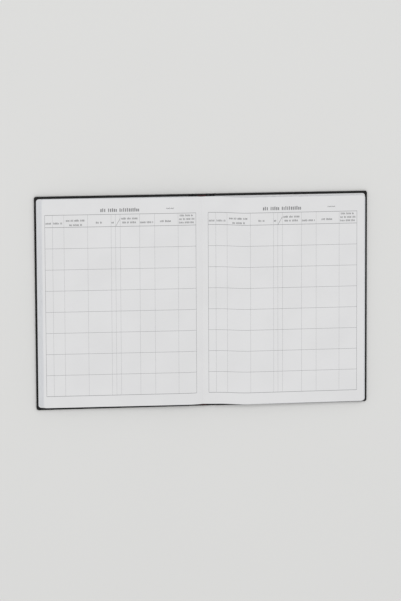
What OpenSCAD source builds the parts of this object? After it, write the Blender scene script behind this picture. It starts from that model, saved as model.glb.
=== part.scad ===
// Case-bound record book lying open past the middle, front cover on the left.
// X runs to the right across the open book, Y towards the head, Z up. Sizes are in millimetres.
// The origin is on the table, under the middle of the spine.

/* [Pages] */
// Height of a leaf, tail to head
page_h = 280; // [240:1:320]
// Flat width of a leaf, fold to fore edge
page_w = 215; // [190:1:240]
// How far the top leaf's fore edge lies inside that of the lowest leaf, on the left
front_bevel = 6.3; // [4:0.1:8]
// The same on the right
back_bevel = 3.2; // [2:0.1:6]
// Radius of the rounded leaf corners at the fore edge
page_corner = 3.5; // [2:0.5:8]
// Height of the top leaf's fore edge above the table, on the left
front_fore_z = 7.9; // [7.5:0.1:8.3]
// The same on the right
back_fore_z = 6.5; // [6.1:0.1:6.9]
// Height of the crest of the pages near the gutter, on the left
front_crest_z = 11.8; // [10.2:0.1:11.8]
// The same on the right
back_crest_z = 9.8; // [8.6:0.1:9.8]
// Distance of the crest from the gutter
crest_l = 25; // [22:1:26]
// Height of the pages at the bottom of the gutter
gutter_z = 6.9; // [6.6:0.1:7.6]
// How soon the pages fall from the crest: 1 is a straight slope, more falls sooner
page_fall = 1; // [1:0.1:2]

/* [Cover] */
// Thickness of the greyboards
board_t = 2.2; // [1.8:0.1:2.2]
// Thickness of the covering cloth
cloth_t = 0.4; // [0.3:0.05:0.4]
// Overhang of the boards beyond the leaves
square_w = 3; // [2:0.5:5]
// Radius of the cover corners at the fore edge
cover_corner = 3; // [1.5:0.5:6]
// Width of the cloth turned in over the boards
turn_in = 15; // [10:1:20]

/* [Spine] */
// Width of the spine between the two cloth hinges
spine_w = 22; // [22:0.5:26]
// Width of the groove between the spine and each board
groove_w = 7; // [6:0.5:8]
// Thickness of the spine board
spine_t = 1.6; // [1.2:0.1:1.6]
// Radius of the bead of the headband and tailband
bead_r = 0.95; // [0.7:0.05:1]
// Number of stitches along each fold
stitches = 5; // [3:1:6]

/* [Hidden] */
$fn = 48;
front = -1;
back = 1;
front_sections = 6;
back_sections = 4;
leaf_t = 0.12;
leaf_gap = 0.05;
sheet_t = 0.15;
slip = 0.04;
// Half widths from the middle of the spine outwards
hinge_l = spine_w / 2;
joint_l = hinge_l + groove_w;
margin_l = 40;
wide_l = 66;
leaf_l = 17;
fold_l = 5.8;
fore_l = fold_l + page_w;
board_l = fore_l + square_w - cloth_t + 0.2;
cover_l = board_l + cloth_t;
page_y = page_h / 2;
board_y = page_y + square_w;
cover_y = board_y + cloth_t;
window_l = board_l - turn_in;
window_y = board_y - turn_in;
// Heights from the table up
board_z = cloth_t + board_t;
turn_z = board_z + cloth_t;
paste_z = turn_z + sheet_t;
stack_z = paste_z + leaf_t + slip;
spine_z = cloth_t + spine_t;
// The folds lie on an arch over the spine board
arch_c = -2.36;
arch_a = 42;
liner_r = 7.5;
mull_r = 7.8;
thread_r = 8.1;
folds_r = 8.4;
bead_ring_r = 8.4;
// Colours
black = [0.05, 0.05, 0.05];
grey = [0.45, 0.43, 0.4];
white = [0.87, 0.87, 0.88];
cream = [0.85, 0.82, 0.74];
kraft = [0.6, 0.46, 0.3];
red = [0.45, 0.1, 0.1];

// What each side of the opening has of its own
function crest_of(s) = s > 0 ? back_crest_z : front_crest_z;
function fore_of(s) = s > 0 ? back_fore_z : front_fore_z;
function bevel_of(s) = s > 0 ? back_bevel : front_bevel;
function sections_of(s) = s > 0 ? back_sections : front_sections;
// Height of the open page surface at a distance from the gutter: a rounded rise to the crest,
// then a fall to the fore edge, even or easing out by page_fall
function page_z(s, l) = l < crest_l
  ? crest_of(s) - (crest_of(s) - gutter_z) * pow(1 - l / crest_l, 2.4)
  : fore_of(s) + (crest_of(s) - fore_of(s))
    * pow(1 - min(1, (l - crest_l) / (layer_fore(s, 1) - crest_l)), page_fall);
// Height of a layer inside the stack, by its share of the thickness
function layer_z(s, l, share, drop) = stack_z + share * (page_z(s, l) - drop - stack_z);
// Fore edge of a layer, set back towards the top
function layer_fore(s, share) = fore_l - share * bevel_of(s);
// Room that the turning leaf takes from the top of the back half
function drop_of(s) = s > 0 ? leaf_t + leaf_gap : 0;
// Even distances from one to another
function stations(a, b, n) = [for (i = [0 : n]) a + (b - a) * i / n];
function reverse(p) = [for (i = [len(p) - 1 : -1 : 0]) p[i]];
// Line of one layer from a bound distance to the fore edge, on one side of the gutter
// that is drawn closely over the crest and more widely beyond it
function layer_line(s, a, share, drop, lift) = [for (l = concat(
    stations(a, wide_l - 2, ceil((wide_l - a) / 3)), stations(wide_l, layer_fore(s, share), 14)))
  [s * l, layer_z(s, l, share, drop) + lift]];
// Points of an arch about the middle of the spine, from one angle to another
function arch(r, a, b, n) = [for (i = [0 : n])
  let (t = a + (b - a) * i / n) [r * sin(t), arch_c + r * cos(t)]];

// A shape drawn in X and Z, run along Y over a half length
module slab(points, half) {
  rotate([90, 0, 0]) linear_extrude(2 * half, center = true) polygon(points);
}

// Outline of a sheet or board on one side, rounded at its two fore-edge corners
module plan(s, a, b, half, r) {
  translate([s > 0 ? a : r - b, -half]) square([b - r - a, 2 * half]);
  translate([s > 0 ? b - r : -b, r - half]) square([r, 2 * half - 2 * r]);
  for (e = [-1, 1]) translate([s * (b - r), e * (half - r)]) circle(r);
}

// A flat sheet or board with that outline between two heights
module plate(s, a, b, half, r, low, high) {
  translate([0, 0, low]) linear_extrude(high - low) plan(s, a, b, half, r);
}

// Cloth round one board: outer skin, wrapped edges and turn-ins
module cover_cloth(s) {
  difference() {
    plate(s, joint_l, cover_l, cover_y, cover_corner, 0, turn_z);
    plate(s, joint_l - 1, board_l, board_y, cover_corner - cloth_t, cloth_t, board_z);
    plate(s, joint_l - 1, window_l, window_y, 1, board_z - 0.01, turn_z + 1);
  }
}

// One sewn section between two layers of the stack, from its bound margin to the fore edge
module section(s, k) {
  low = (k - 1) / sections_of(s);
  high = k / sections_of(s);
  intersection() {
    slab(concat(layer_line(s, margin_l, low, drop_of(s), 0),
      reverse(layer_line(s, margin_l, high, drop_of(s), -slip))), page_y);
    plate(s, margin_l - 1, layer_fore(s, low) + 0.01, page_y, page_corner, stack_z - 1,
      crest_of(s) + 1);
  }
}

// The bound margins of all leaves on one side: over the folds, down to the endpaper, up to the page
module bound_margins(s) {
  inner = 0.15;
  outer = margin_l - 0.2;
  fold_a = asin(inner / folds_r);
  slab(concat(
    [for (l = stations(inner, outer, 24)) [s * l, page_z(s, l) - drop_of(s)]],
    [[s * outer, stack_z], [s * 10.5, stack_z]],
    [for (p = arch(folds_r, arch_a, fold_a, 12)) [s * p[0], p[1]]]), page_y);
}

// Cloth of one groove, arched up between the spine and the board, doubled at head and tail
module joint_cloth(s) {
  rise = 1.0;
  low = [for (i = [0 : 8]) [s * (hinge_l + 0.02 + (groove_w - 0.07) * i / 8),
    rise * sin(180 * i / 8)]];
  high = [for (p = low) [p[0], p[1] + cloth_t]];
  top = [for (p = low) [p[0], p[1] + 2 * cloth_t]];
  slab(concat(low, reverse(high)), cover_y);
  for (e = [-1, 1]) translate([0, e * (cover_y - turn_in / 2), 0])
    slab(concat(high, reverse(top)), turn_in / 2);
}

// A bead over the fold ends at head or tail
module band(e) {
  translate([0, e * (page_y + 0.1 + bead_r), arch_c]) rotate([90, 0, 0])
    rotate([0, 0, 90 - arch_a]) rotate_extrude(angle = 2 * arch_a)
      translate([bead_ring_r, 0]) circle(bead_r, $fn = 24);
}

module spine_board() color(grey) translate([0.4 - hinge_l, -board_y, cloth_t])
  cube([spine_w - 0.8, 2 * board_y, spine_t]);

module spine_cloth() color(black) difference() {
  translate([-hinge_l, -cover_y, 0]) cube([spine_w, 2 * cover_y, spine_z + cloth_t]);
  translate([-hinge_l - 1, -board_y, cloth_t]) cube([spine_w + 2, 2 * board_y, spine_t]);
  translate([-hinge_l - 1, -window_y, spine_z - 0.01]) cube([spine_w + 2, 2 * window_y, 2]);
}

module spine_liner() color(kraft) difference() {
  slab(concat([[-5.01, spine_z]], arch(liner_r, -arch_a, arch_a, 14), [[5.01, spine_z]]),
    window_y - 0.5);
  slab(concat([[-4.65, spine_z + 0.3]], arch(liner_r - 0.35, -arch_a, arch_a, 14),
    [[4.65, spine_z + 0.3]]), window_y);
}

module mull_gauze() color(cream)
  slab(concat(arch(liner_r + 0.02, -arch_a, arch_a, 14),
    reverse(arch(mull_r, -arch_a, arch_a, 14))), window_y - 3);

module sewing_thread() color(cream)
  for (k = [1 : front_sections + back_sections], i = [0 : stitches - 1]) {
    a = (k - (front_sections + back_sections + 1) / 2) * 8;
    pitch = page_h / stitches;
    translate([thread_r * sin(a), (i - (stitches - 1) / 2) * pitch, arch_c + thread_r * cos(a)])
      rotate([90, 0, 0]) cylinder(h = 0.8 * pitch, r = 0.24, center = true, $fn = 16);
  }

module headband() color(red) band(1);
module tailband() color(red) band(-1);
module front_joint_cloth() color(black) joint_cloth(front);
module back_joint_cloth() color(black) joint_cloth(back);
module front_bound_margins() color(white) bound_margins(front);
module back_bound_margins() color(white) bound_margins(back);

module board(s) plate(s, joint_l, board_l, board_y, cover_corner - cloth_t, cloth_t, board_z);
module infill(s) plate(s, joint_l + 30.1, window_l - 0.1, window_y - 0.1, 1, board_z, turn_z);
module mull_flange(s) plate(s, joint_l, joint_l + 30, window_y - 3, 1, board_z, turn_z);
module pastedown(s) plate(s, joint_l, fore_l, page_y + 0.2, page_corner, turn_z, paste_z);
module flyleaf(s) plate(s, margin_l, fore_l, page_y, page_corner, paste_z, paste_z + leaf_t);

module front_board() color(grey) board(front);
module front_cover_cloth() color(black) cover_cloth(front);
module front_infill() color(grey) infill(front);
module front_mull_flange() color(cream) mull_flange(front);
module front_pastedown() color(white) pastedown(front);
module front_flyleaf() color(white) flyleaf(front);
module front_section_1() color(white) section(front, 1);
module front_section_2() color(white) section(front, 2);
module front_section_3() color(white) section(front, 3);
module front_section_4() color(white) section(front, 4);
module front_section_5() color(white) section(front, 5);
module front_section_6() color(white) section(front, 6);

module back_board() color(grey) board(back);
module back_cover_cloth() color(black) cover_cloth(back);
module back_infill() color(grey) infill(back);
module back_mull_flange() color(cream) mull_flange(back);
module back_pastedown() color(white) pastedown(back);
module back_flyleaf() color(white) flyleaf(back);
module back_section_1() color(white) section(back, 1);
module back_section_2() color(white) section(back, 2);
module back_section_3() color(white) section(back, 3);
module back_section_4() color(white) section(back, 4);

// The right-hand leaf at the opening, free from its bound margin to the fore edge
module turning_leaf() color(white) intersection() {
  slab(concat(layer_line(back, leaf_l + 0.2, 1, 0, -leaf_t),
    reverse(layer_line(back, leaf_l + 0.2, 1, 0, 0))), page_y);
  plate(back, leaf_l - 1, layer_fore(back, 1) + 0.01, page_y, page_corner, gutter_z - 1,
    back_crest_z + 1);
}

spine_board();
spine_cloth();
spine_liner();
mull_gauze();
sewing_thread();
headband();
tailband();
front_joint_cloth();
back_joint_cloth();
front_bound_margins();
back_bound_margins();
front_board();
front_cover_cloth();
front_infill();
front_mull_flange();
front_pastedown();
front_flyleaf();
front_section_1();
front_section_2();
front_section_3();
front_section_4();
front_section_5();
front_section_6();
back_board();
back_cover_cloth();
back_infill();
back_mull_flange();
back_pastedown();
back_flyleaf();
back_section_1();
back_section_2();
back_section_3();
back_section_4();
turning_leaf();
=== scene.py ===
"""An open record book: covered boards, sewn sections, a turning leaf and a ruled form."""
import functools
import math
from collections import namedtuple
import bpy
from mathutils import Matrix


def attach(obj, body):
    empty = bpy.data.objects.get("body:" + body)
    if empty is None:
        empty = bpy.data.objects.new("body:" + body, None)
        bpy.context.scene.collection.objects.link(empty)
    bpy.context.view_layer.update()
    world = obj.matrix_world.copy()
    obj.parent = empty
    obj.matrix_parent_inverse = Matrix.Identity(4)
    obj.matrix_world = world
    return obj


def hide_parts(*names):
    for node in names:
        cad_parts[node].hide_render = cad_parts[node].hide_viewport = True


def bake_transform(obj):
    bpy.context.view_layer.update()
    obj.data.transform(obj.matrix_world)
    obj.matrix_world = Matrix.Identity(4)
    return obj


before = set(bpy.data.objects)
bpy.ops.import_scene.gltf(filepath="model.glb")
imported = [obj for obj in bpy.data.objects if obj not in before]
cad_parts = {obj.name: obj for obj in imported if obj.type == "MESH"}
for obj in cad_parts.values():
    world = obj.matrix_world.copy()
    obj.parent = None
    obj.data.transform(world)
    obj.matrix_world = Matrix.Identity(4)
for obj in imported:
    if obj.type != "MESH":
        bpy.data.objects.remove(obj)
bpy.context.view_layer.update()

from types import SimpleNamespace

import bmesh
import bpy
import numpy as np
from mathutils import Matrix

bl_info = {
    "name": "Record Book",
    "version": (1, 0, 0),
    "blender": (4, 5, 0),
    "location": "View3D > Sidebar > Book",
    "description": "Builds an open record book from sheets of cloth, board and paper",
    "category": "Add Mesh",
}

MM = 0.001
SIDES = {"front": -1, "back": 1}


# Settings

def length(name, description, default):
    """A length setting in metres."""
    return bpy.props.FloatProperty(
        name=name, description=description, default=default,
        subtype="DISTANCE", unit="LENGTH", precision=5)


def colour(name, description, default):
    """A colour setting, linear."""
    return bpy.props.FloatVectorProperty(
        name=name, description=description, default=default,
        size=3, min=0.0, max=1.0, subtype="COLOR")


class BookLeafSettings(bpy.types.PropertyGroup):
    """Sizes of the leaves and of the open page's wave"""
    leaf_height: length("Leaf height", "Head to tail of a leaf", 0.280)
    reach: length("Bottom leaf reach", "Gutter to fore edge of the lowest leaf", 0.2213)
    front_bevel: length("Left step", "How much shorter the top left leaf reaches", 0.0068)
    back_bevel: length("Right step", "How much shorter the top right leaf reaches", 0.0021)
    corner: length("Leaf corner", "Radius of a leaf's outer corners", 0.0035)
    front_fore_z: length("Left edge height", "Height of the top left leaf's fore edge", 0.0079)
    back_fore_z: length("Right edge height", "Height of the top right leaf's fore edge", 0.0065)
    front_crest_z: length("Left crest", "Height of the left swell beside the gutter", 0.0118)
    back_crest_z: length("Right crest", "Height of the right swell beside the gutter", 0.0098)
    crest_l: length("Crest place", "Gutter to the top of the swell", 0.025)
    gutter_z: length("Gutter height", "Height of the page at the gutter", 0.0069)
    stack_z: length("Stack height", "Underside of the lowest section", 0.00331)
    sag: length("Sag", "How far the right leaves lie towards the tail", 0.0021)
    leaf_t: length("Leaf thickness", "Thickness of one leaf", 0.00008)
    fold_r: length("Back radius", "Radius of the rounded back at the folds", 0.0084)
    arch_c: length("Back centre", "Height of the rounded back's centre", -0.00236)
    turn_l: length("Turning fold", "Gutter to the line the loose leaf turns on", 0.017)
    turn_gap: length("Turning gap", "Room under the loose leaf", 0.00017)
    front_sections: bpy.props.IntProperty(
        name="Left sections", description="Sewn sections on the left", default=6, min=3)
    back_sections: bpy.props.IntProperty(
        name="Right sections", description="Sewn sections on the right", default=4, min=3)
    leaves: bpy.props.IntProperty(
        name="Leaves", description="Leaves in a section", default=8, min=1)
    paper: colour("Paper", "Colour of the leaves", (0.715, 0.715, 0.722))
    # The cut edge colour is painted shade: a darker, bluer grey on the leaves' cut edges that
    # stands in for the shadow between the leaves, not a colour of the paper.
    cut: colour("Cut edge", "Colour of the leaves' cut edges", (0.68, 0.692, 0.714))


class BookCaseSettings(bpy.types.PropertyGroup):
    """Sizes of the covered boards, the grooves and the spine"""
    cover_l: length("Cover reach", "Gutter to the outer edge of a cover", 0.224)
    cover_y: length("Cover half height", "Middle to head of a cover", 0.1434)
    cloth_t: length("Cloth thickness", "Thickness of the covering cloth", 0.0004)
    board_t: length("Board thickness", "Thickness of a cover board", 0.0022)
    spine_half: length("Spine half width", "Middle to edge of the spine board", 0.011)
    joint_l: length("Joint end", "Gutter to the inner edge of a cover", 0.018)
    groove_rise: length("Groove rise", "How far a groove stands up inside", 0.001)
    spine_t: length("Spine board thickness", "Thickness of the spine board", 0.0016)
    turn_in: length("Turn-in", "Width of cloth turned over inside", 0.015)
    corner: length("Cover corner", "Radius of a cover's outer corners", 0.003)
    edge_r: length("Edge radius", "Roundness of a covered edge", 0.0009)
    bead_r: length("Band thickness", "Radius of a headband's bead", 0.00095)
    bead_y: length("Band place", "Middle of the book to a headband", 0.14105)
    cloth: colour("Cloth", "Colour of the covering cloth", (0.0035, 0.0035, 0.0038))
    worn: colour("Worn cloth", "Colour of rubbed edges", (0.030, 0.028, 0.026))
    band: colour("Band", "Main colour of the headbands", (0.060, 0.007, 0.009))
    band_dark: colour("Band stripe", "Second colour of the headbands", (0.010, 0.009, 0.010))


class BookLiningSettings(bpy.types.PropertyGroup):
    """Colours of the boards, the linings and the sewing"""
    board: colour("Greyboard", "Colour of the boards", (0.30, 0.285, 0.255))
    kraft: colour("Kraft paper", "Colour of the hollow liner", (0.40, 0.27, 0.15))
    card: colour("Infill card", "Colour of the card under a pastedown", (0.56, 0.54, 0.49))
    gauze: colour("Gauze", "Colour of the mull's yarn", (0.72, 0.69, 0.61))
    gauze_gap: colour("Gauze ground", "Colour between the mull's yarns", (0.34, 0.31, 0.25))
    thread: colour("Thread", "Colour of the sewing thread", (0.74, 0.70, 0.60))
    thread_gap: colour("Thread ground", "Colour in the thread's twist", (0.44, 0.39, 0.31))


class BookFormSettings(bpy.types.PropertyGroup):
    """Sizes of the ruled form"""
    head_y: length("Form head", "Middle of the page to the form's top line", 0.1189)
    heading: length("Heading height", "Height of the heading row", 0.0163)
    row: length("Row height", "Height of one row", 0.02838)
    rows: bpy.props.IntProperty(name="Rows", description="Rows in the form", default=8, min=1)
    near: length("Right margin", "Gutter to the form on a right page", 0.0079)
    far: length("Left margin", "Gutter to the form's outer line on a left page", 0.2113)
    frame_w: length("Frame line", "Width of the frame's lines", 0.0006)
    row_w: length("Row line", "Width of the row lines", 0.00038)
    column_w: length("Column line", "Width of the column lines", 0.00019)
    ink: colour("Ink", "Colour of the lines", (0.30, 0.30, 0.31))
    tick_ink: colour("Heading ink", "Colour of the heading ticks", (0.21, 0.21, 0.215))


class BookStageSettings(bpy.types.PropertyGroup):
    """Floor, light and camera"""
    floor: colour("Floor", "Colour of the floor", (0.705, 0.705, 0.697))
    floor_half: length("Floor half width", "Middle to edge of the floor", 12.0)
    sky: bpy.props.FloatProperty(
        name="Sky level", description="Level of the even light", default=0.80, min=0.0)
    sky_colour: colour("Sky colour", "Colour of the even light", (1.0, 1.0, 0.997))
    lamp: bpy.props.FloatProperty(
        name="Lamp power", description="Power of the soft lamp",
        default=94.0, min=0.0, unit="POWER")
    lamp_size: length("Lamp size", "Width of the soft lamp's disc", 3.0)
    lamp_head: length("Lamp place", "Middle of the book to the lamp, towards the head", 2.75)
    lamp_up: length("Lamp height", "Height of the lamp", 5.5)
    eye: bpy.props.FloatVectorProperty(
        name="Eye", description="Place of the camera", default=(-0.5196, 0.5731, 4.0),
        size=3, subtype="XYZ", unit="LENGTH")
    turn: bpy.props.FloatVectorProperty(
        name="Turn", description="Turns of the camera about X, Y and Z",
        default=tuple(math.radians(v) for v in (8.097, 7.374, 0.295)), size=3, subtype="EULER")
    lens: bpy.props.FloatProperty(
        name="Lens", description="Focal length on a 36 mm frame", default=182.03, min=1.0)


def settings_of(group):
    """The group's own settings by name."""
    return {key: prop for key, prop in group.bl_rna.properties.items()
            if key not in {"rna_type", "name"}}


def in_mm(group):
    """The group's values as plain numbers, with lengths in millimetres."""
    values = {}
    for key, prop in settings_of(group).items():
        value = getattr(group, key)
        if prop.type == "FLOAT" and prop.unit == "LENGTH" and not prop.is_array:
            value = value / MM
        values[key] = tuple(value) if getattr(prop, "is_array", False) else value
    return SimpleNamespace(**values)


def half_of(p, word):
    """The leaf values of one half of the open book, front or back."""
    own = {key: getattr(p, f"{word}_{key}") for key in ("bevel", "fore_z", "crest_z", "sections")}
    return SimpleNamespace(**vars(p), **own, word=word, side=SIDES[word],
                           fore=p.reach - own["bevel"])


# Mesh helpers

MERGE_GAP, SHORT_EDGE = 2e-6, 1e-7  # metres between points to join, and along edges to drop


def slab(top, low, flip=False, ends=(True, True, True, True)):
    """A closed sheet between two like grids.

    It has the top's faces, the low grid's faces turned over, and a wall along each of
    the four borders that ends names.
    """
    n, m = top.shape[:2]
    upper = np.arange(n * m).reshape(n, m)
    under = upper + n * m

    def quads(*corners):
        """Faces from four like grids of corners."""
        return np.stack([c.ravel() for c in corners], axis=1)

    parts = [
        quads(upper[:-1, :-1], upper[1:, :-1], upper[1:, 1:], upper[:-1, 1:]),
        quads(under[:-1, :-1], under[:-1, 1:], under[1:, 1:], under[1:, :-1]),
    ]
    walls = [
        (upper[0, :-1], upper[0, 1:], under[0, 1:], under[0, :-1]),
        (upper[-1, 1:], upper[-1, :-1], under[-1, :-1], under[-1, 1:]),
        (upper[1:, 0], upper[:-1, 0], under[:-1, 0], under[1:, 0]),
        (upper[:-1, -1], upper[1:, -1], under[1:, -1], under[:-1, -1]),
    ]
    parts += [quads(*wall) for wall, wanted in zip(walls, ends) if wanted]
    faces = np.concatenate(parts)
    if flip:
        faces = faces[:, ::-1]
    return np.concatenate([top.reshape(-1, 3), low.reshape(-1, 3)]), faces


def gather(shells):
    """Several shells as one: points, faces and any marks laid end to end."""
    points, faces, *marks = zip(*shells)
    offsets = np.cumsum([0] + [len(part) for part in points[:-1]])
    faces = [part + offset for part, offset in zip(faces, offsets)]
    return [np.concatenate(parts) for parts in (points, faces, *marks)]


def make_piece(name, shell, finish, slot, *nodes, mark="", merge=False, crease=38):
    """A mesh object at the origin from a shell in millimetres, in place of any CAD nodes named.

    The shell's mark, one value per point, is stored under the name that mark gives, for the
    material to read. Edges that bend more than crease degrees stay sharp.
    """
    points, faces, *marks = shell
    mesh = bpy.data.meshes.new(name)
    mesh.from_pydata((points * MM).tolist(), [], faces.tolist())
    for values in marks:
        layer = mesh.attributes.new(mark, "FLOAT", "POINT")
        layer.data.foreach_set("value", np.asarray(values, dtype=np.float32))
    if merge:
        work = bmesh.new()
        work.from_mesh(mesh)
        bmesh.ops.remove_doubles(work, verts=work.verts, dist=MERGE_GAP)
        bmesh.ops.dissolve_degenerate(work, edges=work.edges, dist=SHORT_EDGE)
        work.to_mesh(mesh)
        work.free()
    mesh.validate()
    mesh.shade_smooth()
    mesh.set_sharp_from_angle(angle=math.radians(crease))
    mesh.materials.append(finish)
    piece = bpy.data.objects.new(name, mesh)
    bpy.context.scene.collection.objects.link(piece)
    if nodes:
        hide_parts(*nodes)
    return piece


def smooth(x):
    """Zero before 0, one after 1, and an S between."""
    x = np.clip(x, 0.0, 1.0)
    return x * x * (3 - 2 * x)


# Shape of the open page, in millimetres

BACK_REACH = 42  # degrees of the rounded back on each side of its middle
SWELL_POWER = 2.4  # how hard the page curves up to its crest
FOLD_LIFT = 0.86  # how far the top fold stands above the rounded back
PULL_L = 12  # length of a leaf that is drawn to its fold
SWELL_END = 66  # gutter to the end of the close stations
FLAT_STEPS, CORNER_STEPS = 16, 8  # stations beyond the swell and round a leaf's corner
RIM_W = 1.0  # width of the narrow step at head and tail
EDGE_SHADE_W = 0.5  # width of the painted shade along the cut edges
SAG_START, SAG_L = 17, 45  # gutter to the start of the sag, and the sag's length


def page_height(p, l):
    """Top page over distance l from the gutter: a power curve up to the crest, then straight
    down to the fore edge."""
    rise = p.crest_z - (p.crest_z - p.gutter_z) * np.clip(1 - l / p.crest_l, 0, 1) ** SWELL_POWER
    along = np.clip((l - p.crest_l) / (p.fore - p.crest_l), 0, 1)
    fall = p.fore_z + (p.crest_z - p.fore_z) * (1 - along)
    return np.where(l < p.crest_l, rise, fall)


def fold_point(p, share):
    """Fold on the rounded back: its angle falls from the back's reach at the lowest leaf to
    nothing at the top one, which is lifted a little."""
    angle = np.radians(BACK_REACH * (1 - share))
    return p.fold_r * np.sin(angle), p.arch_c + p.fold_r * np.cos(angle) + FOLD_LIFT * share


def layer_height(p, share, l, fold_share):
    """A leaf's top: its share of the height under the page, drawn to its fold by a square law
    over the leaf's first stretch."""
    drop = p.turn_gap if p.side > 0 else 0.0
    fold_x, fold_z = fold_point(p, fold_share)

    def plain(at):
        """The leaf's share of the height, not drawn to its fold."""
        return p.stack_z + share * (page_height(p, at) - drop - p.stack_z)

    pull = np.clip(1 - (l - fold_x) / PULL_L, 0, 1) ** 2
    return plain(l) + (fold_z - plain(fold_x)) * pull


def stations(p, start, fore, fine):
    """Distances along a leaf: close over the swell, wide beyond it, and spaced by a sine round
    the corner."""
    quarter = np.linspace(0, np.pi / 2, CORNER_STEPS)
    return np.concatenate([
        np.linspace(start, SWELL_END, fine),
        np.linspace(SWELL_END, fore - p.corner, FLAT_STEPS)[1:],
        fore - p.corner * (1 - np.sin(quarter[1:])),
    ])


def sagged(p, l):
    """How far a leaf lies towards the tail: nothing on the left and near the fold, and an S
    curve up to the whole sag on the right."""
    return p.sag * smooth((l - SAG_START) / SAG_L) * (p.side > 0)


def leaf_shell(p, l, fore, height, thick, across, uneven=0.0):
    """One leaf as a closed sheet, sagged, and moved along Y if it lies uneven.

    Stations run along it, and even steps across its height but for a narrow one at head and tail. A
    quarter circle rounds its outer corners. Its mark is a bell curve of the distance from the cut
    edges: painted shade that the material turns into a darker bluish grey, standing in for the
    shadow between the leaves.
    """
    half = p.leaf_height / 2
    over = np.clip(l - (fore - p.corner), 0, p.corner)
    tall = half - (p.corner - np.sqrt(np.maximum(p.corner ** 2 - over ** 2, 0)))
    rim = 1 - RIM_W / half
    steps = np.concatenate([[-1], np.linspace(-rim, rim, across), [1]])
    y = steps[None, :] * tall[:, None]
    inset = np.minimum(fore - l[:, None], half - np.abs(y))
    y = y + (uneven - sagged(p, l))[:, None]
    x = np.broadcast_to(p.side * l[:, None], y.shape)
    z = np.broadcast_to(height[:, None], y.shape)
    top = np.stack([x, y, z], axis=-1)
    low = np.stack([x, y, z - np.reshape(thick, (-1, 1))], axis=-1)
    points, faces = slab(top, low, flip=p.side < 0)
    # Painted shade: the edge mark darkens the paper along the cut edges in place of the shadow
    # between the leaves.
    edge = np.exp(-(np.maximum(inset, 0) / EDGE_SHADE_W) ** 2).ravel()
    return points, faces, np.concatenate([edge, edge])


# Shader groups

def made_once(store):
    """Let a maker build its named material or group once, and find it by that name later."""
    def wrap(maker):
        @functools.wraps(maker)
        def find(name, *values, **settings):
            kept = getattr(bpy.data, store)
            if name in kept:
                return kept[name]
            return maker(name, *values, **settings)
        return find
    return wrap


def new_group(name, inputs, outputs):
    """A shader group with named value sockets, its input node and its output node."""
    group = bpy.data.node_groups.new(name, "ShaderNodeTree")
    for label, default in inputs.items():
        socket = group.interface.new_socket(label, in_out="INPUT", socket_type="NodeSocketFloat")
        socket.default_value = default
    for label in outputs:
        group.interface.new_socket(label, in_out="OUTPUT", socket_type="NodeSocketFloat")
    return group, add(group, "NodeGroupInput"), add(group, "NodeGroupOutput")


def add(tree, kind, values=None, **settings):
    """One node, with settings on it and values on its sockets."""
    node = tree.nodes.new(kind)
    for key, value in settings.items():
        setattr(node, key, value)
    for key, value in (values or {}).items():
        node.inputs[key].default_value = value
    return node


def noise(tree, place, scale, detail, distortion=0.0):
    """Noise over a place, as a socket."""
    node = add(tree, "ShaderNodeTexNoise", values={
        "Scale": scale, "Detail": detail, "Distortion": distortion})
    tree.links.new(place, node.inputs["Vector"])
    return node.outputs[0]


def sums(tree, operation, a, b=0.0):
    """A maths node of one or two sources, each a socket or a number."""
    node = add(tree, "ShaderNodeMath", operation=operation)
    for slot, source in enumerate((a, b)):
        if isinstance(source, (int, float)):
            node.inputs[slot].default_value = source
        else:
            tree.links.new(source, node.inputs[slot])
    return node.outputs[0]


def spread(tree, source, low, high, to_low=0.0, to_high=1.0):
    """A source between low and high, smoothly carried to another range."""
    node = add(tree, "ShaderNodeMapRange", interpolation_type="SMOOTHSTEP", values={
        "From Min": low, "From Max": high, "To Min": to_low, "To Max": to_high})
    tree.links.new(source, node.inputs["Value"])
    return node.outputs["Result"]


def scaled_place(tree, group_in, stretch=(1, 1, 1)):
    """Object coordinates stretched and multiplied by the group's Scale."""
    place = add(tree, "ShaderNodeTexCoord").outputs["Object"]
    wide = add(tree, "ShaderNodeVectorMath", operation="MULTIPLY")
    wide.inputs[1].default_value = stretch
    tree.links.new(place, wide.inputs[0])
    sized = add(tree, "ShaderNodeVectorMath", operation="SCALE")
    tree.links.new(wide.outputs[0], sized.inputs[0])
    tree.links.new(group_in.outputs["Scale"], sized.inputs["Scale"])
    return sized.outputs[0]


@made_once("node_groups")
def grain_group(name):
    """Leather grain: rounded cells with valleys between, and fine noise over them."""
    group, source, sink = new_group(name, {"Scale": 1000.0}, ("Height", "Patch"))
    place = scaled_place(group, source)
    cells = add(group, "ShaderNodeTexVoronoi", feature="DISTANCE_TO_EDGE", values={"Scale": 1.0})
    group.links.new(place, cells.inputs["Vector"])
    dome = spread(group, cells.outputs["Distance"], low=0.0, high=0.32)
    fine = sums(group, "MULTIPLY", noise(group, place, scale=2.6, detail=3.0), 0.35)
    broad = noise(group, place, scale=0.035, detail=4.0)
    group.links.new(sums(group, "ADD", dome, fine), sink.inputs["Height"])
    group.links.new(spread(group, broad, low=0.35, high=0.68), sink.inputs["Patch"])
    return group


@made_once("node_groups")
def wear_group(name):
    """Rubbed edges: the piece's wear mark broken up by two sizes of noise."""
    group, source, sink = new_group(name, {"Scale": 260.0, "Amount": 0.6}, ("Mask",))
    place = scaled_place(group, source)
    mark = add(group, "ShaderNodeAttribute", attribute_name="wear")
    small = spread(group, noise(group, place, scale=1.0, detail=5.0), low=0.42, high=0.66)
    large = spread(group, noise(group, place, scale=0.12, detail=2.0), low=0.35, high=0.6,
                   to_low=0.25)
    broken = sums(group, "MULTIPLY", small, large)
    worn = sums(group, "MULTIPLY", mark.outputs["Fac"], broken)
    group.links.new(sums(group, "MULTIPLY", worn, source.outputs["Amount"]), sink.inputs["Mask"])
    return group


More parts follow.
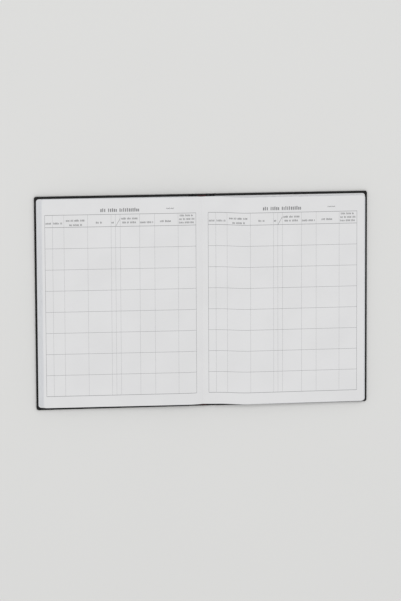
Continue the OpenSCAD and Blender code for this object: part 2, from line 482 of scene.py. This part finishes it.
@made_once("node_groups")
def fibre_group(name):
    """Paper and board fibre: stretched noise for fibres, broad noise for cloudiness, sharp
    noise for specks."""
    group, source, sink = new_group(name, {"Scale": 900.0}, ("Height", "Cloud", "Speck"))
    place = scaled_place(group, source)
    long_place = scaled_place(group, source, stretch=(0.22, 1.0, 1.0))
    fibres = noise(group, long_place, scale=1.0, detail=4.0, distortion=0.8)
    cloud = noise(group, place, scale=0.022, detail=3.0)
    speck = noise(group, place, scale=0.6, detail=2.0)
    group.links.new(fibres, sink.inputs["Height"])
    group.links.new(spread(group, cloud, low=0.32, high=0.68), sink.inputs["Cloud"])
    group.links.new(spread(group, speck, low=0.62, high=0.74), sink.inputs["Speck"])
    return group


@made_once("node_groups")
def weave_group(name):
    """Open weave: two crossing sine waves, and a mask that is one where a thread runs."""
    group, source, sink = new_group(name, {"Scale": 4000.0}, ("Height", "Thread"))
    parts = add(group, "ShaderNodeSeparateXYZ")
    group.links.new(scaled_place(group, source), parts.inputs[0])
    warp = sums(group, "ABSOLUTE", sums(group, "SINE", parts.outputs["X"]))
    weft = sums(group, "ABSOLUTE", sums(group, "SINE", parts.outputs["Y"]))
    over = sums(group, "MAXIMUM", warp, weft)
    group.links.new(over, sink.inputs["Height"])
    group.links.new(spread(group, over, low=0.55, high=0.85), sink.inputs["Thread"])
    return group


# Materials

def new_finish(name, roughness, specular):
    """A material with its shader, and the shader's constant values set on it."""
    finish = bpy.data.materials.new(name)
    finish.use_nodes = True
    tree = finish.node_tree
    shader = tree.nodes["Principled BSDF"]
    shader.inputs["Roughness"].default_value = roughness
    shader.inputs["Specular IOR Level"].default_value = specular
    return finish, tree, shader


def placed(tree, group, **values):
    """A shader group in a material, with its own values."""
    return add(tree, "ShaderNodeGroup", values, node_tree=group)


def fibres_in(tree, scale):
    """The paper fibre group in a material."""
    return placed(tree, fibre_group("Fibre"), Scale=scale).outputs


def mixed(tree, factor, first, second):
    """A colour between two colours or sources by a factor."""
    node = add(tree, "ShaderNodeMix", data_type="RGBA")
    tree.links.new(factor, node.inputs["Factor"])
    for key, source in (("A", first), ("B", second)):
        socket = [s for s in node.inputs if s.name == key and s.type == "RGBA"][0]
        if isinstance(source, (tuple, list)):
            socket.default_value = (*source, 1.0)
        else:
            tree.links.new(source, socket)
    return [s for s in node.outputs if s.type == "RGBA"][0]


def bumped(tree, shader, height, strength, distance):
    """A height source as small relief in millimetres."""
    bump = add(tree, "ShaderNodeBump", values={"Strength": strength, "Distance": distance * MM})
    tree.links.new(height, bump.inputs["Height"])
    tree.links.new(bump.outputs["Normal"], shader.inputs["Normal"])


def shade(rgb, factor):
    """A colour made lighter or darker."""
    return tuple(min(1.0, v * factor) for v in rgb)


@made_once("materials")
def leatherette(name, c):
    """Black grained cloth, rubbed grey along its edges."""
    finish, tree, shader = new_finish(name, roughness=0.46, specular=0.22)
    grain = placed(tree, grain_group("Leather grain"), Scale=1050.0).outputs
    wear = placed(tree, wear_group("Edge wear"), Scale=320.0, Amount=0.75).outputs
    base = mixed(tree, grain["Patch"], c.cloth, shade(c.cloth, 1.35))
    rough = spread(tree, grain["Patch"], low=0.0, high=1.0, to_low=0.44, to_high=0.50)
    tree.links.new(mixed(tree, wear["Mask"], base, c.worn), shader.inputs["Base Color"])
    tree.links.new(rough, shader.inputs["Roughness"])
    bumped(tree, shader, grain["Height"], strength=0.45, distance=0.12)
    return finish


@made_once("materials")
def paper_finish(name, paper, cut):
    """Uncoated paper with faint fibres, and painted shade along the cut edges: the piece's edge
    mark mixes in the darker bluish cut colour, in place of the shadow between the leaves.
    """
    finish, tree, shader = new_finish(name, roughness=0.86, specular=0.22)
    fibre = fibres_in(tree, scale=900.0)
    mark = add(tree, "ShaderNodeAttribute", attribute_name="edge")
    base = mixed(tree, fibre["Cloud"], shade(paper, 0.985), shade(paper, 1.012))
    flecks = sums(tree, "MULTIPLY", fibre["Speck"], 0.16)
    flecked = mixed(tree, flecks, base, shade(paper, 0.86))
    # Painted shade: the edge mark mixes the darker cut colour into the paper along the cut edges.
    edge_shade = sums(tree, "MULTIPLY", mark.outputs["Fac"], 0.8)
    tree.links.new(mixed(tree, edge_shade, flecked, cut), shader.inputs["Base Color"])
    bumped(tree, shader, fibre["Height"], strength=0.18, distance=0.02)
    return finish


def leaf_finish(p):
    """The leaves' paper."""
    return paper_finish("Leaf paper", p.paper, p.cut)


def end_finish(p):
    """The endpapers' paper, a little darker than the leaves'."""
    return paper_finish("Endpaper", shade(p.paper, 0.97), p.cut)


@made_once("materials")
def ink_finish(name, ink):
    """Printing ink, a little uneven where the paper's fibres show."""
    finish, tree, shader = new_finish(name, roughness=0.78, specular=0.25)
    fibre = fibres_in(tree, scale=1600.0)
    tree.links.new(mixed(tree, fibre["Speck"], ink, shade(ink, 1.25)), shader.inputs["Base Color"])
    return finish


@made_once("materials")
def fibrous(name, base, scale, roughness, depth, contrast):
    """Board or wrapping paper: clouded colour with darker flecks and a fibrous relief."""
    finish, tree, shader = new_finish(name, roughness, specular=0.2)
    fibre = fibres_in(tree, scale)
    pale, dark = shade(base, 1 + contrast), shade(base, 1 - contrast)
    cloudy = mixed(tree, fibre["Cloud"], dark, pale)
    flecks = sums(tree, "MULTIPLY", fibre["Speck"], 0.55)
    tree.links.new(mixed(tree, flecks, cloudy, shade(base, 0.62)), shader.inputs["Base Color"])
    bumped(tree, shader, fibre["Height"], strength=0.4, distance=depth)
    return finish


@made_once("materials")
def woven(name, thread, gap, scale):
    """Gauze or thread: pale yarn over a darker ground."""
    finish, tree, shader = new_finish(name, roughness=0.9, specular=0.15)
    weave = placed(tree, weave_group("Weave"), Scale=scale).outputs
    tree.links.new(mixed(tree, weave["Thread"], gap, thread), shader.inputs["Base Color"])
    bumped(tree, shader, weave["Height"], strength=0.6, distance=0.1)
    return finish


@made_once("materials")
def band_finish(name, c):
    """Silk headband: two dark yarn colours by the piece's stripe mark, with a fine twist."""
    finish, tree, shader = new_finish(name, roughness=0.55, specular=0.35)
    mark = add(tree, "ShaderNodeAttribute", attribute_name="stripe")
    fibre = fibres_in(tree, scale=2600.0)
    yarn = mixed(tree, fibre["Cloud"], c.band, shade(c.band, 1.5))
    tree.links.new(mixed(tree, mark.outputs["Fac"], yarn, c.band_dark),
                   shader.inputs["Base Color"])
    bumped(tree, shader, fibre["Height"], strength=0.3, distance=0.03)
    return finish


# Covered boards, grooves and spine, in millimetres

RUN_STEPS, BEND_STEPS = 16, 9  # points along each straight run and bend of a cover's outline
ROUND_STEPS = 6  # points round a covered edge
OUTSIDE_ROWS, INSIDE_ROWS = (70, 30, 8, 2.5), (2.5, 8)  # a cover's rows of points, in from its edge
STRIP_END, STRIP_STEPS = 6, 15  # length of a strip's ends, and points between them
GROOVE_STEPS, SPINE_STEPS = 15, 13  # points across a groove and across the spine
LEAST_R = 0.02  # smallest inner radius of a turned edge
RUBBED_W, RUBBED_CORNER = 0.9, 6  # how far in edges and corners are rubbed
# Share of wear along an edge, what a corner adds to it and spreads inwards, and at a strip's end
WEAR_EDGE, WEAR_CORNER, WEAR_SPREAD, WEAR_STRIP = 0.45, 0.55, 0.25, 0.8


def cover_ring(c, inset):
    """Outline of a cover's tail, fore edge and head, moved in by inset: straight runs, and
    quarter circles whose radius shrinks to a mitre."""
    run = np.linspace(0, 1, RUN_STEPS)
    arc = np.linspace(0, np.pi / 2, BEND_STEPS)[1:-1]
    bend = max(c.corner, inset)
    left = max(c.corner - inset, 0.0)
    mid_l, mid_y = c.cover_l - bend, c.cover_y - bend
    tail = np.stack([c.joint_l + run * (mid_l - c.joint_l),
                     np.full(RUN_STEPS, inset - c.cover_y)], 1)
    low = np.stack([mid_l + left * np.sin(arc), -mid_y - left * np.cos(arc)], 1)
    fore = np.stack([np.full(RUN_STEPS, c.cover_l - inset), (2 * run - 1) * mid_y], 1)
    high = (low * (1, -1))[::-1]
    head = (tail * (1, -1))[::-1]
    return np.concatenate([tail, low, fore, high, head])


def cover_cloth(c, side):
    """Cloth round a board: a C section of two offset lines, carried along the cover's outline.

    It runs from the middle of the outside to the edge of the turn-in. Its wear mark fades
    inwards from the edges, and is strongest at the corners.
    """
    top, r = 2 * c.cloth_t + c.board_t, c.edge_r
    arc = np.linspace(0, np.pi / 2, ROUND_STEPS)[1:-1]

    def section(t):
        """Insets and heights of the C line that lies t inside the cloth's outer face."""
        small = r - t
        inset = [c.cover_y, *OUTSIDE_ROWS, r, *(r - small * np.sin(arc)), t,
                 t, *(r - small * np.cos(arc)), r, *INSIDE_ROWS, c.turn_in]
        below = [*[t] * (len(OUTSIDE_ROWS) + 2), *(r - small * np.cos(arc)), r]
        above = [top - r, *(top - r + small * np.sin(arc)), *[top - t] * (len(INSIDE_ROWS) + 2)]
        return inset, below + above

    def skin(t):
        """That line carried along the outline."""
        inset, height = section(t)
        rings = np.stack([cover_ring(c, d) for d in inset])
        z = np.broadcast_to(np.array(height)[:, None], rings.shape[:2])
        return np.stack([side * rings[..., 0], rings[..., 1], z], axis=-1)

    outer, inner = skin(0.0), skin(c.cloth_t)
    points, faces = slab(inner, outer, flip=side < 0, ends=(False, True, True, True))
    inset = np.array(section(0.0)[0])[:, None] + np.zeros(outer.shape[1])
    from_corner = np.hypot(c.cover_l - np.abs(outer[..., 0]), c.cover_y - np.abs(outer[..., 1]))
    near_corner = np.exp(-from_corner / RUBBED_CORNER)
    edge_wear = np.exp(-inset / RUBBED_W) * (WEAR_EDGE + WEAR_CORNER * near_corner)
    corner_wear = WEAR_SPREAD * near_corner * np.exp(-inset / RUBBED_CORNER)
    wear = (edge_wear + corner_wear).ravel()
    return points, faces, np.concatenate([0 * wear, wear])


def wrapped_strip(c, x, lift, core):
    """Cloth strip turned over at head and tail: a long flattened loop from one turn-in to the
    other round a core, carried along x with a lift."""
    t, half = c.cloth_t, c.cover_y
    top = 2 * t + core
    r = min(c.edge_r, top / 2)
    arc = np.linspace(0, np.pi / 2, ROUND_STEPS)

    def section(gap):
        """Places along Y and heights of the loop that lies a gap inside the outer face."""
        small = max(r - gap, LEAST_R)
        y = np.concatenate([[half - c.turn_in, half - STRIP_END], half - r + small * np.sin(arc),
                            half - r + small * np.cos(arc)])
        z = np.concatenate([[top - gap] * 2, top - r + small * np.cos(arc),
                            r - small * np.sin(arc)])
        flat = np.linspace(half - STRIP_END, STRIP_END - half, STRIP_STEPS)
        return (np.concatenate([-y, -flat, y[::-1]]),
                np.concatenate([z, np.full(STRIP_STEPS, gap), z[::-1]]))

    def skin(gap):
        """That loop carried along x."""
        y, z = section(gap)
        shape = (len(y), len(x))
        return np.stack([np.broadcast_to(x, shape), np.broadcast_to(y[:, None], shape),
                         z[:, None] + lift[None, :]], axis=-1)

    outer, inner = skin(0.0), skin(t)
    points, faces = slab(outer, inner)
    wear = WEAR_STRIP * np.exp(-(half - np.abs(outer[..., 1])) / RUBBED_W).ravel()
    return points, faces, np.concatenate([wear, 0 * wear])


class BOOK_OT_case(bpy.types.Operator):
    """Make the cloth of the covers, the grooves and the spine"""
    bl_idname = "book.case"
    bl_label = "Case cloth"

    def execute(self, context):
        c = in_mm(context.scene.book_case)
        finish = leatherette("Leatherette", c)
        across = np.linspace(0, 1, GROOVE_STEPS)
        # A groove's cloth rises and falls by one wave of a cosine
        lift = c.groove_rise * (0.5 - 0.5 * np.cos(2 * np.pi * across))
        for word, side in SIDES.items():
            cover = make_piece(f"{word}_cover_leatherette", cover_cloth(c, side), finish,
                               "leatherette", f"{word}_cover_cloth", mark="wear", merge=True)
            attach(cover, f"{word}_cover")
            along = np.linspace(c.spine_half, c.joint_l, GROOVE_STEPS)
            order = slice(None, None, side)
            strip = wrapped_strip(c, (side * along)[order], lift[order], core=0.0)
            groove = make_piece(f"{word}_groove_leatherette", strip, finish, "leatherette",
                                f"{word}_joint_cloth", mark="wear")
            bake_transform(groove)
        x = np.linspace(-c.spine_half, c.spine_half, SPINE_STEPS)
        spine = make_piece("spine_leatherette", wrapped_strip(c, x, 0 * x, core=c.spine_t),
                           finish, "leatherette", "spine_cloth", mark="wear")
        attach(spine, "spine")
        return {"FINISHED"}


def coat(node, finish):
    """Give a solid of the frame its finish in every slot."""
    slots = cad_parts[node].data.materials
    if not slots:
        slots.append(finish)
    for at in range(len(slots)):
        slots[at] = finish


class BOOK_OT_linings(bpy.types.Operator):
    """Finish the boards, infills, gauze, pastedowns, liner and sewing"""
    bl_idname = "book.linings"
    bl_label = "Boards and linings"

    def execute(self, context):
        s = in_mm(context.scene.book_lining)
        board = fibrous("Greyboard", s.board, scale=520.0, roughness=0.92, depth=0.08,
                        contrast=0.10)
        kraft = fibrous("Kraft liner", s.kraft, scale=700.0, roughness=0.82, depth=0.03,
                        contrast=0.07)
        card = fibrous("Infill card", s.card, scale=700.0, roughness=0.9, depth=0.03,
                       contrast=0.06)
        gauze = woven("Mull gauze", s.gauze, s.gauze_gap, scale=3200.0)
        thread = woven("Linen thread", s.thread, s.thread_gap, scale=9000.0)
        end = end_finish(in_mm(context.scene.book_leaf))
        coat("spine_board", board)
        coat("spine_liner", kraft)
        coat("mull_gauze", gauze)
        coat("sewing_thread", thread)
        for word in SIDES:
            coat(f"{word}_board", board)
            coat(f"{word}_infill", card)
            coat(f"{word}_mull_flange", gauze)
            coat(f"{word}_pastedown", end)
        return {"FINISHED"}


# Headbands

BAND_STEPS, BEAD_STEPS = 241, 16  # points along a band and round its bead
WRAPS = 15  # turns of yarn on each half of a band
RIDGE = 0.07  # depth of the yarn's ridges as a share of the bead
STRIPE_WRAPS = 2.5  # turns of yarn in a pair of stripes
STRIPE_SLANT, STRIPE_EDGE = 0.2, 2.5  # lean of the stripes round the bead, and their sharpness


def band_shell(p, c, end):
    """A bead along the rounded back: a circle carried round an arc, ridged by a twisted yarn
    and rounded off at both ends. Its mark is a sine wave, sharpened to stripes."""
    turn = np.linspace(-1, 1, BAND_STEPS)
    around = np.linspace(0, 2 * np.pi, BEAD_STEPS + 1)[:-1]
    reach = math.radians(BACK_REACH)
    near = np.clip((1 - np.abs(turn)) * reach * p.fold_r / c.bead_r, 0, 1)
    taper = np.sqrt(1 - (1 - near) ** 2)[:, None]
    wraps = 2 * np.pi * WRAPS * turn[:, None]
    radius = taper * (1 - RIDGE + RIDGE * np.cos(wraps * 2 + around)) * c.bead_r
    arc = turn[:, None] * reach
    ring = p.fold_r + radius * np.cos(around)
    points = np.stack([ring * np.sin(arc), end * c.bead_y + radius * np.sin(around),
                       p.arch_c + ring * np.cos(arc)], axis=-1)
    index = np.arange(radius.size).reshape(radius.shape)
    beside = np.roll(index, -1, axis=1)
    faces = np.stack([index[:-1].ravel(), index[1:].ravel(), beside[1:].ravel(),
                      beside[:-1].ravel()], axis=1)
    wave = np.sin(wraps / STRIPE_WRAPS + around * STRIPE_SLANT)
    return points.reshape(-1, 3), faces, smooth(0.5 + STRIPE_EDGE * wave).ravel()


class BOOK_OT_headbands(bpy.types.Operator):
    """Make the headband and the tailband"""
    bl_idname = "book.headbands"
    bl_label = "Headbands"

    def execute(self, context):
        p, c = in_mm(context.scene.book_leaf), in_mm(context.scene.book_case)
        finish = band_finish("Headband silk", c)
        for node, end in (("headband", 1), ("tailband", -1)):
            band = make_piece(f"{node}_silk", band_shell(p, c, end), finish, "headband", node,
                              mark="stripe", merge=True, crease=80)
            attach(band, "spine")
        return {"FINISHED"}


# Leaves, in millimetres

FLY_START, FLY_T, FLY_GAP = 10.5, 0.11, 0.02  # inner edge, thickness and room of a flyleaf
TOP_ACROSS, LEAF_ACROSS, FLY_ACROSS = 25, 11, 9  # steps across a leaf's height
TOP_FINE, LEAF_FINE, LOOSE_FINE = 60, 24, 45  # close stations along a leaf
LEAF_SEED, UNEVEN_FORE, UNEVEN_HEAD = 7, 0.16, 0.10  # how far chance moves a leaf out or up
FOLD_SPREAD = 0.45  # how far a section's folds spread over its share of the back
LOOSE_FOLD, LOOSE_STEPS = 6, 18  # length and number of the stations at its fold
# Its thickness at the fold, what it gains away from it, and over which length
LOOSE_T, LOOSE_T_MORE, LOOSE_T_L = 0.02, 0.07, 8
LOOSE_GAP, LOOSE_GAP_MORE, LOOSE_GAP_L = 0.012, 0.055, 15  # the same for the gap under it


def top_curve(p):
    """Distances and heights of the top page of a half's stack, fold to fore edge."""
    l = stations(p, 0.0, p.fore, TOP_FINE)
    return l, layer_height(p, 1.0, l, 1.0)


def loose_curve(p):
    """Distances, tops and thicknesses of the loose leaf: just above the page beneath, and
    thinned by an S curve towards its fold."""
    fold_end = p.turn_l + LOOSE_FOLD
    l = np.concatenate([np.linspace(p.turn_l, fold_end, LOOSE_STEPS),
                        stations(p, fold_end, p.fore, LOOSE_FINE)[1:]])
    thick = LOOSE_T + LOOSE_T_MORE * smooth((l - p.turn_l) / LOOSE_T_L)
    rise = smooth((l - p.turn_l) / LOOSE_GAP_L)
    below = page_height(p, l) - p.turn_gap
    return l, below + LOOSE_GAP + LOOSE_GAP_MORE * rise + thick, thick


def follow_cover(piece):
    """Bake the piece's place into its mesh, leaving it at the origin."""
    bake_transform(piece)


def turn_with_leaf(piece):
    """Bake the piece's place into its mesh, leaving it at the origin."""
    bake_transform(piece)


class BOOK_OT_endpapers(bpy.types.Operator):
    """Make the flyleaf on each side"""
    bl_idname = "book.endpapers"
    bl_label = "Flyleaves"

    def execute(self, context):
        p = in_mm(context.scene.book_leaf)
        finish = end_finish(p)
        l = stations(p, FLY_START, p.reach, LEAF_FINE)
        height = np.full(len(l), p.stack_z - FLY_GAP)
        for word in SIDES:
            h = half_of(p, word)
            sheet = leaf_shell(h, l, h.reach, height, FLY_T, FLY_ACROSS)
            fly = make_piece(f"{word}_flyleaf_sheet", sheet, finish, "paper", f"{word}_flyleaf",
                             mark="edge")
            follow_cover(fly)
        return {"FINISHED"}


def section_shells(h, section, chance):
    """The leaves of one section as sheets: equal shares of the stack's height, each set back
    by its share of the fore edge step and a little by chance."""
    shells = []
    middle = (section + 0.5) / h.sections
    for leaf in range(h.leaves):
        share = (section * h.leaves + leaf + 1) / (h.sections * h.leaves)
        uneven_fore, uneven_head = chance.uniform(-1, 1, 2) * (UNEVEN_FORE, UNEVEN_HEAD)
        if share == 1.0:
            fore, uneven_head, across = h.fore, 0.0, TOP_ACROSS
            l, height = top_curve(h)
        else:
            fore, across = h.reach - h.bevel * share + uneven_fore, LEAF_ACROSS
            fold_share = middle + FOLD_SPREAD * (share - middle)
            l = stations(h, fold_point(h, fold_share)[0], fore, LEAF_FINE)
            height = layer_height(h, share, l, fold_share)
        shells.append(leaf_shell(h, l, fore, height, h.leaf_t, across, uneven_head))
    return shells


class BOOK_OT_sections(bpy.types.Operator):
    """Make the sewn sections, leaf by leaf"""
    bl_idname = "book.sections"
    bl_label = "Sections"

    def execute(self, context):
        p = in_mm(context.scene.book_leaf)
        finish = leaf_finish(p)
        chance = np.random.default_rng(LEAF_SEED)
        for word in SIDES:
            h = half_of(p, word)
            for section in range(h.sections):
                node = f"{word}_section_{section + 1}"
                leaves = gather(section_shells(h, section, chance))
                piece = make_piece(f"{node}_leaves", leaves, finish, "paper", node, mark="edge")
                if section == h.sections - 1:
                    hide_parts(f"{word}_bound_margins")
                follow_cover(piece)
        return {"FINISHED"}


class BOOK_OT_turning_leaf(bpy.types.Operator):
    """Make the loose right-hand leaf that turns"""
    bl_idname = "book.turning_leaf"
    bl_label = "Turning leaf"

    def execute(self, context):
        p = half_of(in_mm(context.scene.book_leaf), "back")
        l, height, thick = loose_curve(p)
        sheet = leaf_shell(p, l, p.fore, height, thick, TOP_ACROSS)
        leaf = make_piece("turning_leaf_sheet", sheet, leaf_finish(p), "paper", "turning_leaf",
                          mark="edge")
        turn_with_leaf(leaf)
        return {"FINISHED"}


# Ruled form, in millimetres

# Column lines, from the form's left side
COLUMNS = (0.0, 10.2, 25.4, 56.9, 88.2, 94.0, 100.3, 126.2, 146.2, 177.6, 201.8)
# Rows of ticks in the heading, above the form, and above its right end: left end, right end
# and middle height
HEADING_TICKS = (
    (1.2, 8.8, 108.0), (11.3, 23.7, 108.0), (28.2, 53.4, 111.4), (32.8, 49.8, 105.5),
    (68.0, 76.6, 108.3), (88.9, 92.6, 108.1), (101.8, 124.1, 113.1), (103.3, 122.9, 107.9),
    (126.9, 144.7, 107.7), (153.6, 169.7, 108.7), (179.9, 199.0, 115.9), (179.1, 199.9, 111.1),
    (178.9, 199.5, 106.5),
)
TOP_TICKS = ((74.1, 81.8, 124.8), (84.4, 97.0, 124.8), (99.6, 126.8, 124.8))
END_TICKS = ((162.0, 172.4, 125.7),)
# Each kind of row with its ticks' height and pitch, and whether gaps break it up
TICK_ROWS = (
    (HEADING_TICKS, 2.7, 1.25, True),
    (TOP_TICKS, 5.2, 2.3, False),
    (END_TICKS, 1.7, 1.2, False),
)
TICK_SEED, TICK_BREAKS = 3, (3, 8)  # chance of the ticks, and how many to the next gap
# Least and most of a tick's width as a share of the pitch, and of its height as one of the row's
TICK_WIDTHS, TICK_HEIGHTS = (0.42, 0.68), (0.72, 1.0)
# Slanting stroke in a heading: left end and right end at its foot, foot, top, and lean
STROKE = (94.1, 94.6, 102.9, 113.4, 0.58)
SIDE_LINE = 0.7  # width of the form's side lines as a share of its frame's
SHORT_INK, INK_STEP = 0.02, 11  # least length of a box of ink, and most height of one face
INK_T, UNDER_INK_T = 0.022, 0.012  # thickness of the ink on a page and under the leaf
ON_PAGE, ON_BENEATH, UNDER_LEAF = 0.006, 0.004, -0.018  # place of the ink above each


def form_boxes(f):
    """The form's lines and ticks as boxes: left end, right end, low end and high end, with a
    lean where there is one."""
    heads, width = f.head_y - f.heading, COLUMNS[-1]
    foot = f.head_y - f.heading - f.rows * f.row
    levels = [(heads - row * f.row, f.row_w) for row in range(1, f.rows)]
    levels += [(y, f.frame_w) for y in (heads, f.head_y, foot)]
    lines = [(0.0, width, y - wide / 2, y + wide / 2) for y, wide in levels]
    for at in COLUMNS:
        wide = f.frame_w * SIDE_LINE if at in (COLUMNS[0], width) else f.column_w
        lines.append((at - wide / 2, at + wide / 2, foot, f.head_y))
    chance = np.random.default_rng(TICK_SEED)
    ticks = []
    for rows, tall, pitch, breaks in TICK_ROWS:
        for left, right, y in rows:
            ticks += tick_row(chance, left, right, y, tall, pitch, breaks)
    ticks.append(STROKE)
    return lines, ticks


def tick_row(chance, left, right, y, tall, pitch, breaks):
    """A row of upright ticks: even pitch, seeded widths and heights, and a gap after every few
    if it has breaks."""
    count = max(2, int((right - left) / pitch))
    step = (right - left) / count
    gaps = np.cumsum(chance.integers(*TICK_BREAKS, count))
    ticks = []
    for at in range(count):
        wide = step * chance.uniform(*TICK_WIDTHS)
        high = tall * chance.uniform(*TICK_HEIGHTS)
        if not (breaks and at in gaps):
            start = left + at * step
            ticks.append((start, start + wide, y - tall / 2, y - tall / 2 + high))
    return ticks


def printed(page, boxes):
    """Ink boxes on a page: each box's ends are found along the page's own curve, cut off at the
    loose leaf's fold, leant if the box says so, moved as the leaf sags, and laid a gap above."""
    l, height, side = page.l, page.height, page.half.side
    along = l[0] + np.concatenate([[0.0], np.cumsum(np.hypot(np.diff(l), np.diff(height)))])
    near = page.half.turn_l if page.turns else 0.0
    shells = []
    for left, right, foot, top, *lean in boxes:
        ends = sorted(page.start + page.grows * column for column in (left, right))
        l0, l1 = np.interp(ends, along, l)
        l0 = max(l0, near)
        if l1 - l0 < SHORT_INK:
            continue
        at = np.concatenate([[l0], l[(l > l0 + SHORT_INK) & (l < l1 - SHORT_INK)], [l1]])
        y = np.linspace(foot, top, 2 + int((top - foot) / INK_STEP))[None, :]
        at = at[:, None] + page.grows * sum(lean) * (y - foot)
        z = np.interp(at, l, height)
        under = np.stack([side * at, y - sagged(page.half, at), z + page.gap], axis=-1)
        shells.append(slab(under + (0, 0, page.thick), under, flip=side < 0))
    return gather(shells)


# A page's half of the book, its curve, the form's start on it and the way its columns grow, the
# ink's gap and thickness, and whether it turns with the loose leaf
Page = namedtuple("Page", "name half l height start grows gap thick turns")


def form_pages(p, f):
    """The printed pages: left, right, the back of the loose leaf and the page beneath it."""
    left, right = half_of(p, "front"), half_of(p, "back")
    left_l, left_z = top_curve(left)
    right_l, right_z = top_curve(right)
    leaf_l, leaf_top, leaf_t = loose_curve(right)
    # The loose leaf's own curve starts at its fold, so the page's arc runs on from the gutter
    bound = right_l < p.turn_l
    full_l = np.concatenate([right_l[bound], leaf_l])
    full_top = np.concatenate([right_z[bound], leaf_top])
    full_low = np.concatenate([right_z[bound], leaf_top - leaf_t])
    return (
        Page("left_page", left, left_l, left_z, f.far, -1, ON_PAGE, INK_T, False),
        Page("right_page", right, full_l, full_top, f.near, 1, ON_PAGE, INK_T, True),
        Page("leaf_back", right, full_l, full_low, f.far, -1, UNDER_LEAF, UNDER_INK_T, True),
        Page("page_beneath", right, right_l, right_z, f.near, 1, ON_BENEATH, INK_T, False),
    )


class BOOK_OT_form(bpy.types.Operator):
    """Print the ruled form on the open pages and on the pages that turning the leaf shows"""
    bl_idname = "book.form"
    bl_label = "Ruled form"

    def execute(self, context):
        p, f = in_mm(context.scene.book_leaf), in_mm(context.scene.book_form)
        lines, ticks = form_boxes(f)
        kinds = (("rules", lines, ink_finish("Rule ink", f.ink)),
                 ("headings", ticks, ink_finish("Heading ink", f.tick_ink)))
        for page in form_pages(p, f):
            for label, boxes, ink in kinds:
                piece = make_piece(f"{page.name}_{label}", printed(page, boxes), ink, "paper")
                if page.turns:
                    turn_with_leaf(piece)
                else:
                    follow_cover(piece)
        return {"FINISHED"}


# Stage, in metres

FLOOR_Z = -0.0001


def lay_floor(s, scene):
    """A wide pale square just under the book, very faintly clouded."""
    finish, tree, shader = new_finish("Floor", roughness=0.95, specular=0.1)
    cloud = fibres_in(tree, scale=160.0)["Cloud"]
    tree.links.new(mixed(tree, cloud, shade(s.floor, 0.997), shade(s.floor, 1.003)),
                   shader.inputs["Base Color"])
    mesh = bpy.data.meshes.new("floor")
    edge = s.floor_half
    mesh.from_pydata([(-edge, -edge, FLOOR_Z), (edge, -edge, FLOOR_Z), (edge, edge, FLOOR_Z),
                      (-edge, edge, FLOOR_Z)], [], [(0, 1, 2, 3)])
    mesh.materials.append(finish)
    floor = bpy.data.objects.new("floor", mesh)
    scene.collection.objects.link(floor)


def set_light(s, scene):
    """An even sky, and a broad lamp above the head that faces the book."""
    world = bpy.data.worlds.new("Studio")
    world.use_nodes = True
    sky = world.node_tree.nodes["Background"]
    sky.inputs["Color"].default_value = (*s.sky_colour, 1.0)
    sky.inputs["Strength"].default_value = s.sky
    scene.world = world
    lamp = bpy.data.lights.new("soft lamp", "AREA")
    lamp.shape, lamp.size, lamp.energy = "DISK", s.lamp_size, s.lamp
    holder = bpy.data.objects.new("soft lamp", lamp)
    tilt = Matrix.Rotation(math.atan2(-s.lamp_head, s.lamp_up), 4, "X")
    holder.matrix_world = Matrix.Translation((0.0, s.lamp_head, s.lamp_up)) @ tilt
    scene.collection.objects.link(holder)


def place_camera(s, scene):
    """A far camera. Its turns take the book's axes to the camera's, so it gets their inverse."""
    lens = bpy.data.cameras.new("camera")
    lens.sensor_fit, lens.sensor_width, lens.lens = "AUTO", 36.0, s.lens
    lens.clip_start, lens.clip_end = 0.05, 60.0
    camera = bpy.data.objects.new("camera", lens)
    turn_x, turn_y, turn_z = s.turn
    turn = (Matrix.Rotation(turn_z, 3, "Z") @ Matrix.Rotation(turn_x, 3, "X")
            @ Matrix.Rotation(turn_y, 3, "Y")).transposed()
    camera.matrix_world = Matrix.Translation(s.eye) @ turn.to_4x4()
    scene.collection.objects.link(camera)
    scene.camera = camera


class BOOK_OT_stage(bpy.types.Operator):
    """Lay the floor, set the light and place the camera"""
    bl_idname = "book.stage"
    bl_label = "Floor, light and camera"

    def execute(self, context):
        s, scene = context.scene.book_stage, context.scene
        scene.view_settings.view_transform = "Standard"
        lay_floor(s, scene)
        set_light(s, scene)
        place_camera(s, scene)
        return {"FINISHED"}


class BOOK_PT_panel(bpy.types.Panel):
    """Lists the steps that build the book, and the settings they read"""
    bl_idname = "BOOK_PT_panel"
    bl_label = "Record Book"
    bl_space_type = "VIEW_3D"
    bl_region_type = "UI"
    bl_category = "Book"

    def draw(self, context):
        for step in STEPS:
            self.layout.operator(step.bl_idname)
        for name in GROUPS:
            group, box = getattr(context.scene, name), self.layout.box()
            for key in settings_of(group):
                box.prop(group, key)


STEPS = (BOOK_OT_stage, BOOK_OT_case, BOOK_OT_linings, BOOK_OT_headbands, BOOK_OT_endpapers,
         BOOK_OT_sections, BOOK_OT_turning_leaf, BOOK_OT_form)
GROUPS = {"book_leaf": BookLeafSettings, "book_case": BookCaseSettings,
          "book_lining": BookLiningSettings, "book_form": BookFormSettings,
          "book_stage": BookStageSettings}


def register():
    """Register the settings, the steps and the panel."""
    for cls in (*GROUPS.values(), *STEPS, BOOK_PT_panel):
        bpy.utils.register_class(cls)
    for name, cls in GROUPS.items():
        setattr(bpy.types.Scene, name, bpy.props.PointerProperty(type=cls))


def unregister():
    """Take the settings, the steps and the panel away again."""
    for name in GROUPS:
        delattr(bpy.types.Scene, name)
    for cls in (BOOK_PT_panel, *reversed(STEPS), *reversed(GROUPS.values())):
        bpy.utils.unregister_class(cls)


def main():
    """Build the book step by step."""
    register()
    bpy.ops.book.stage()
    bpy.ops.book.case()
    bpy.ops.book.linings()
    bpy.ops.book.headbands()
    bpy.ops.book.endpapers()
    bpy.ops.book.sections()
    bpy.ops.book.turning_leaf()
    bpy.ops.book.form()


if __name__ == "__main__":
    main()
